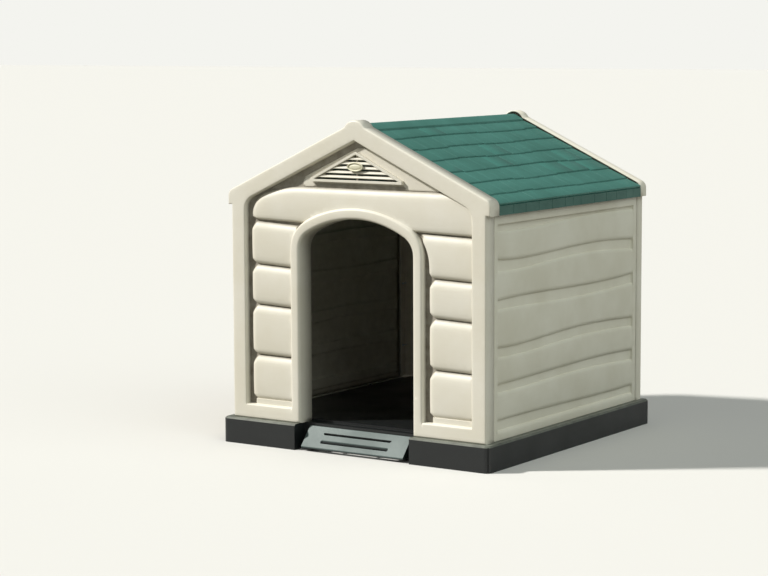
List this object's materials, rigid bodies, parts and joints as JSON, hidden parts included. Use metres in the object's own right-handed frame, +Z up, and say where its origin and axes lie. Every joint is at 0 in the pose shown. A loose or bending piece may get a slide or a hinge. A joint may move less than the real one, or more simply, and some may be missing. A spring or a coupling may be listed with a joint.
{
  "type": "dog house",
  "caption": "Moulded resin dog house with log-look walls, arched doorway, shingled gable roof, gable vents and a plinth with a sloping step.",
  "frame": {"origin": "centre of the plinth's underside, on the ground", "axes": "+Z up, the doorway faces -Y, +X is to the right seen from the front"},
  "size_m": [0.95, 0.99, 0.9899],
  "materials": {
    "wall_plastic": "ivory moulded polypropylene, fine moulded texture",
    "roof_plastic": "green moulded polypropylene, shingle texture",
    "vent_plastic": "ivory moulded polypropylene",
    "badge_plastic": "pale cream-gold moulded plastic, bare",
    "plinth_plastic": "dark grey moulded polypropylene",
    "step_plastic": "grey moulded polypropylene",
    "screw_steel": "zinc-plated steel screws"
  },
  "bodies": {
    "root": {"base": "plinth_plastic", "entry_step": "step_plastic", "front_wall": "wall_plastic", "rear_wall": "wall_plastic", "right_wall": "wall_plastic", "left_wall": "wall_plastic", "right_roof_panel": "roof_plastic", "left_roof_panel": "roof_plastic", "ridge_cap": "roof_plastic", "front_vent_grille": "vent_plastic", "rear_vent_grille": "vent_plastic", "vent_badge": "badge_plastic", "wall_corner_screws": "screw_steel", "wall_foot_screws": "screw_steel", "entry_step_screws": "screw_steel", "eave_screws": "screw_steel"}
  },
  "joints": []
}
